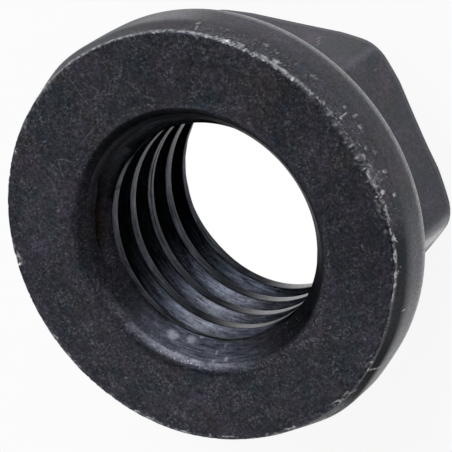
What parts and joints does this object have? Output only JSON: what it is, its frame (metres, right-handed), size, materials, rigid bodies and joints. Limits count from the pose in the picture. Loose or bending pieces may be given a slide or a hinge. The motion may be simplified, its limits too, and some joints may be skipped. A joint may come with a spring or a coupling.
{
  "type": "hexagon flange nut",
  "caption": "Hexagon nut forged in one piece with a wide, plain round flange, and a right-hand thread that runs right through.",
  "frame": {"origin": "below the centre of the round flange, at the level of the hexagon's end, which the nut stands on", "axes": "+Z along the thread's axis, out of the wide bearing face of the flange; two opposite flats of the hexagon face +X and -X"},
  "size_m": [0.0198, 0.0198, 0.0099],
  "materials": {
    "blackened_steel": "dark blackened (black oxide or phosphated) steel, satin to matt, rubbed to bare steel along the worn edges"
  },
  "bodies": {
    "root": {"flange_nut": "blackened_steel"}
  },
  "joints": []
}
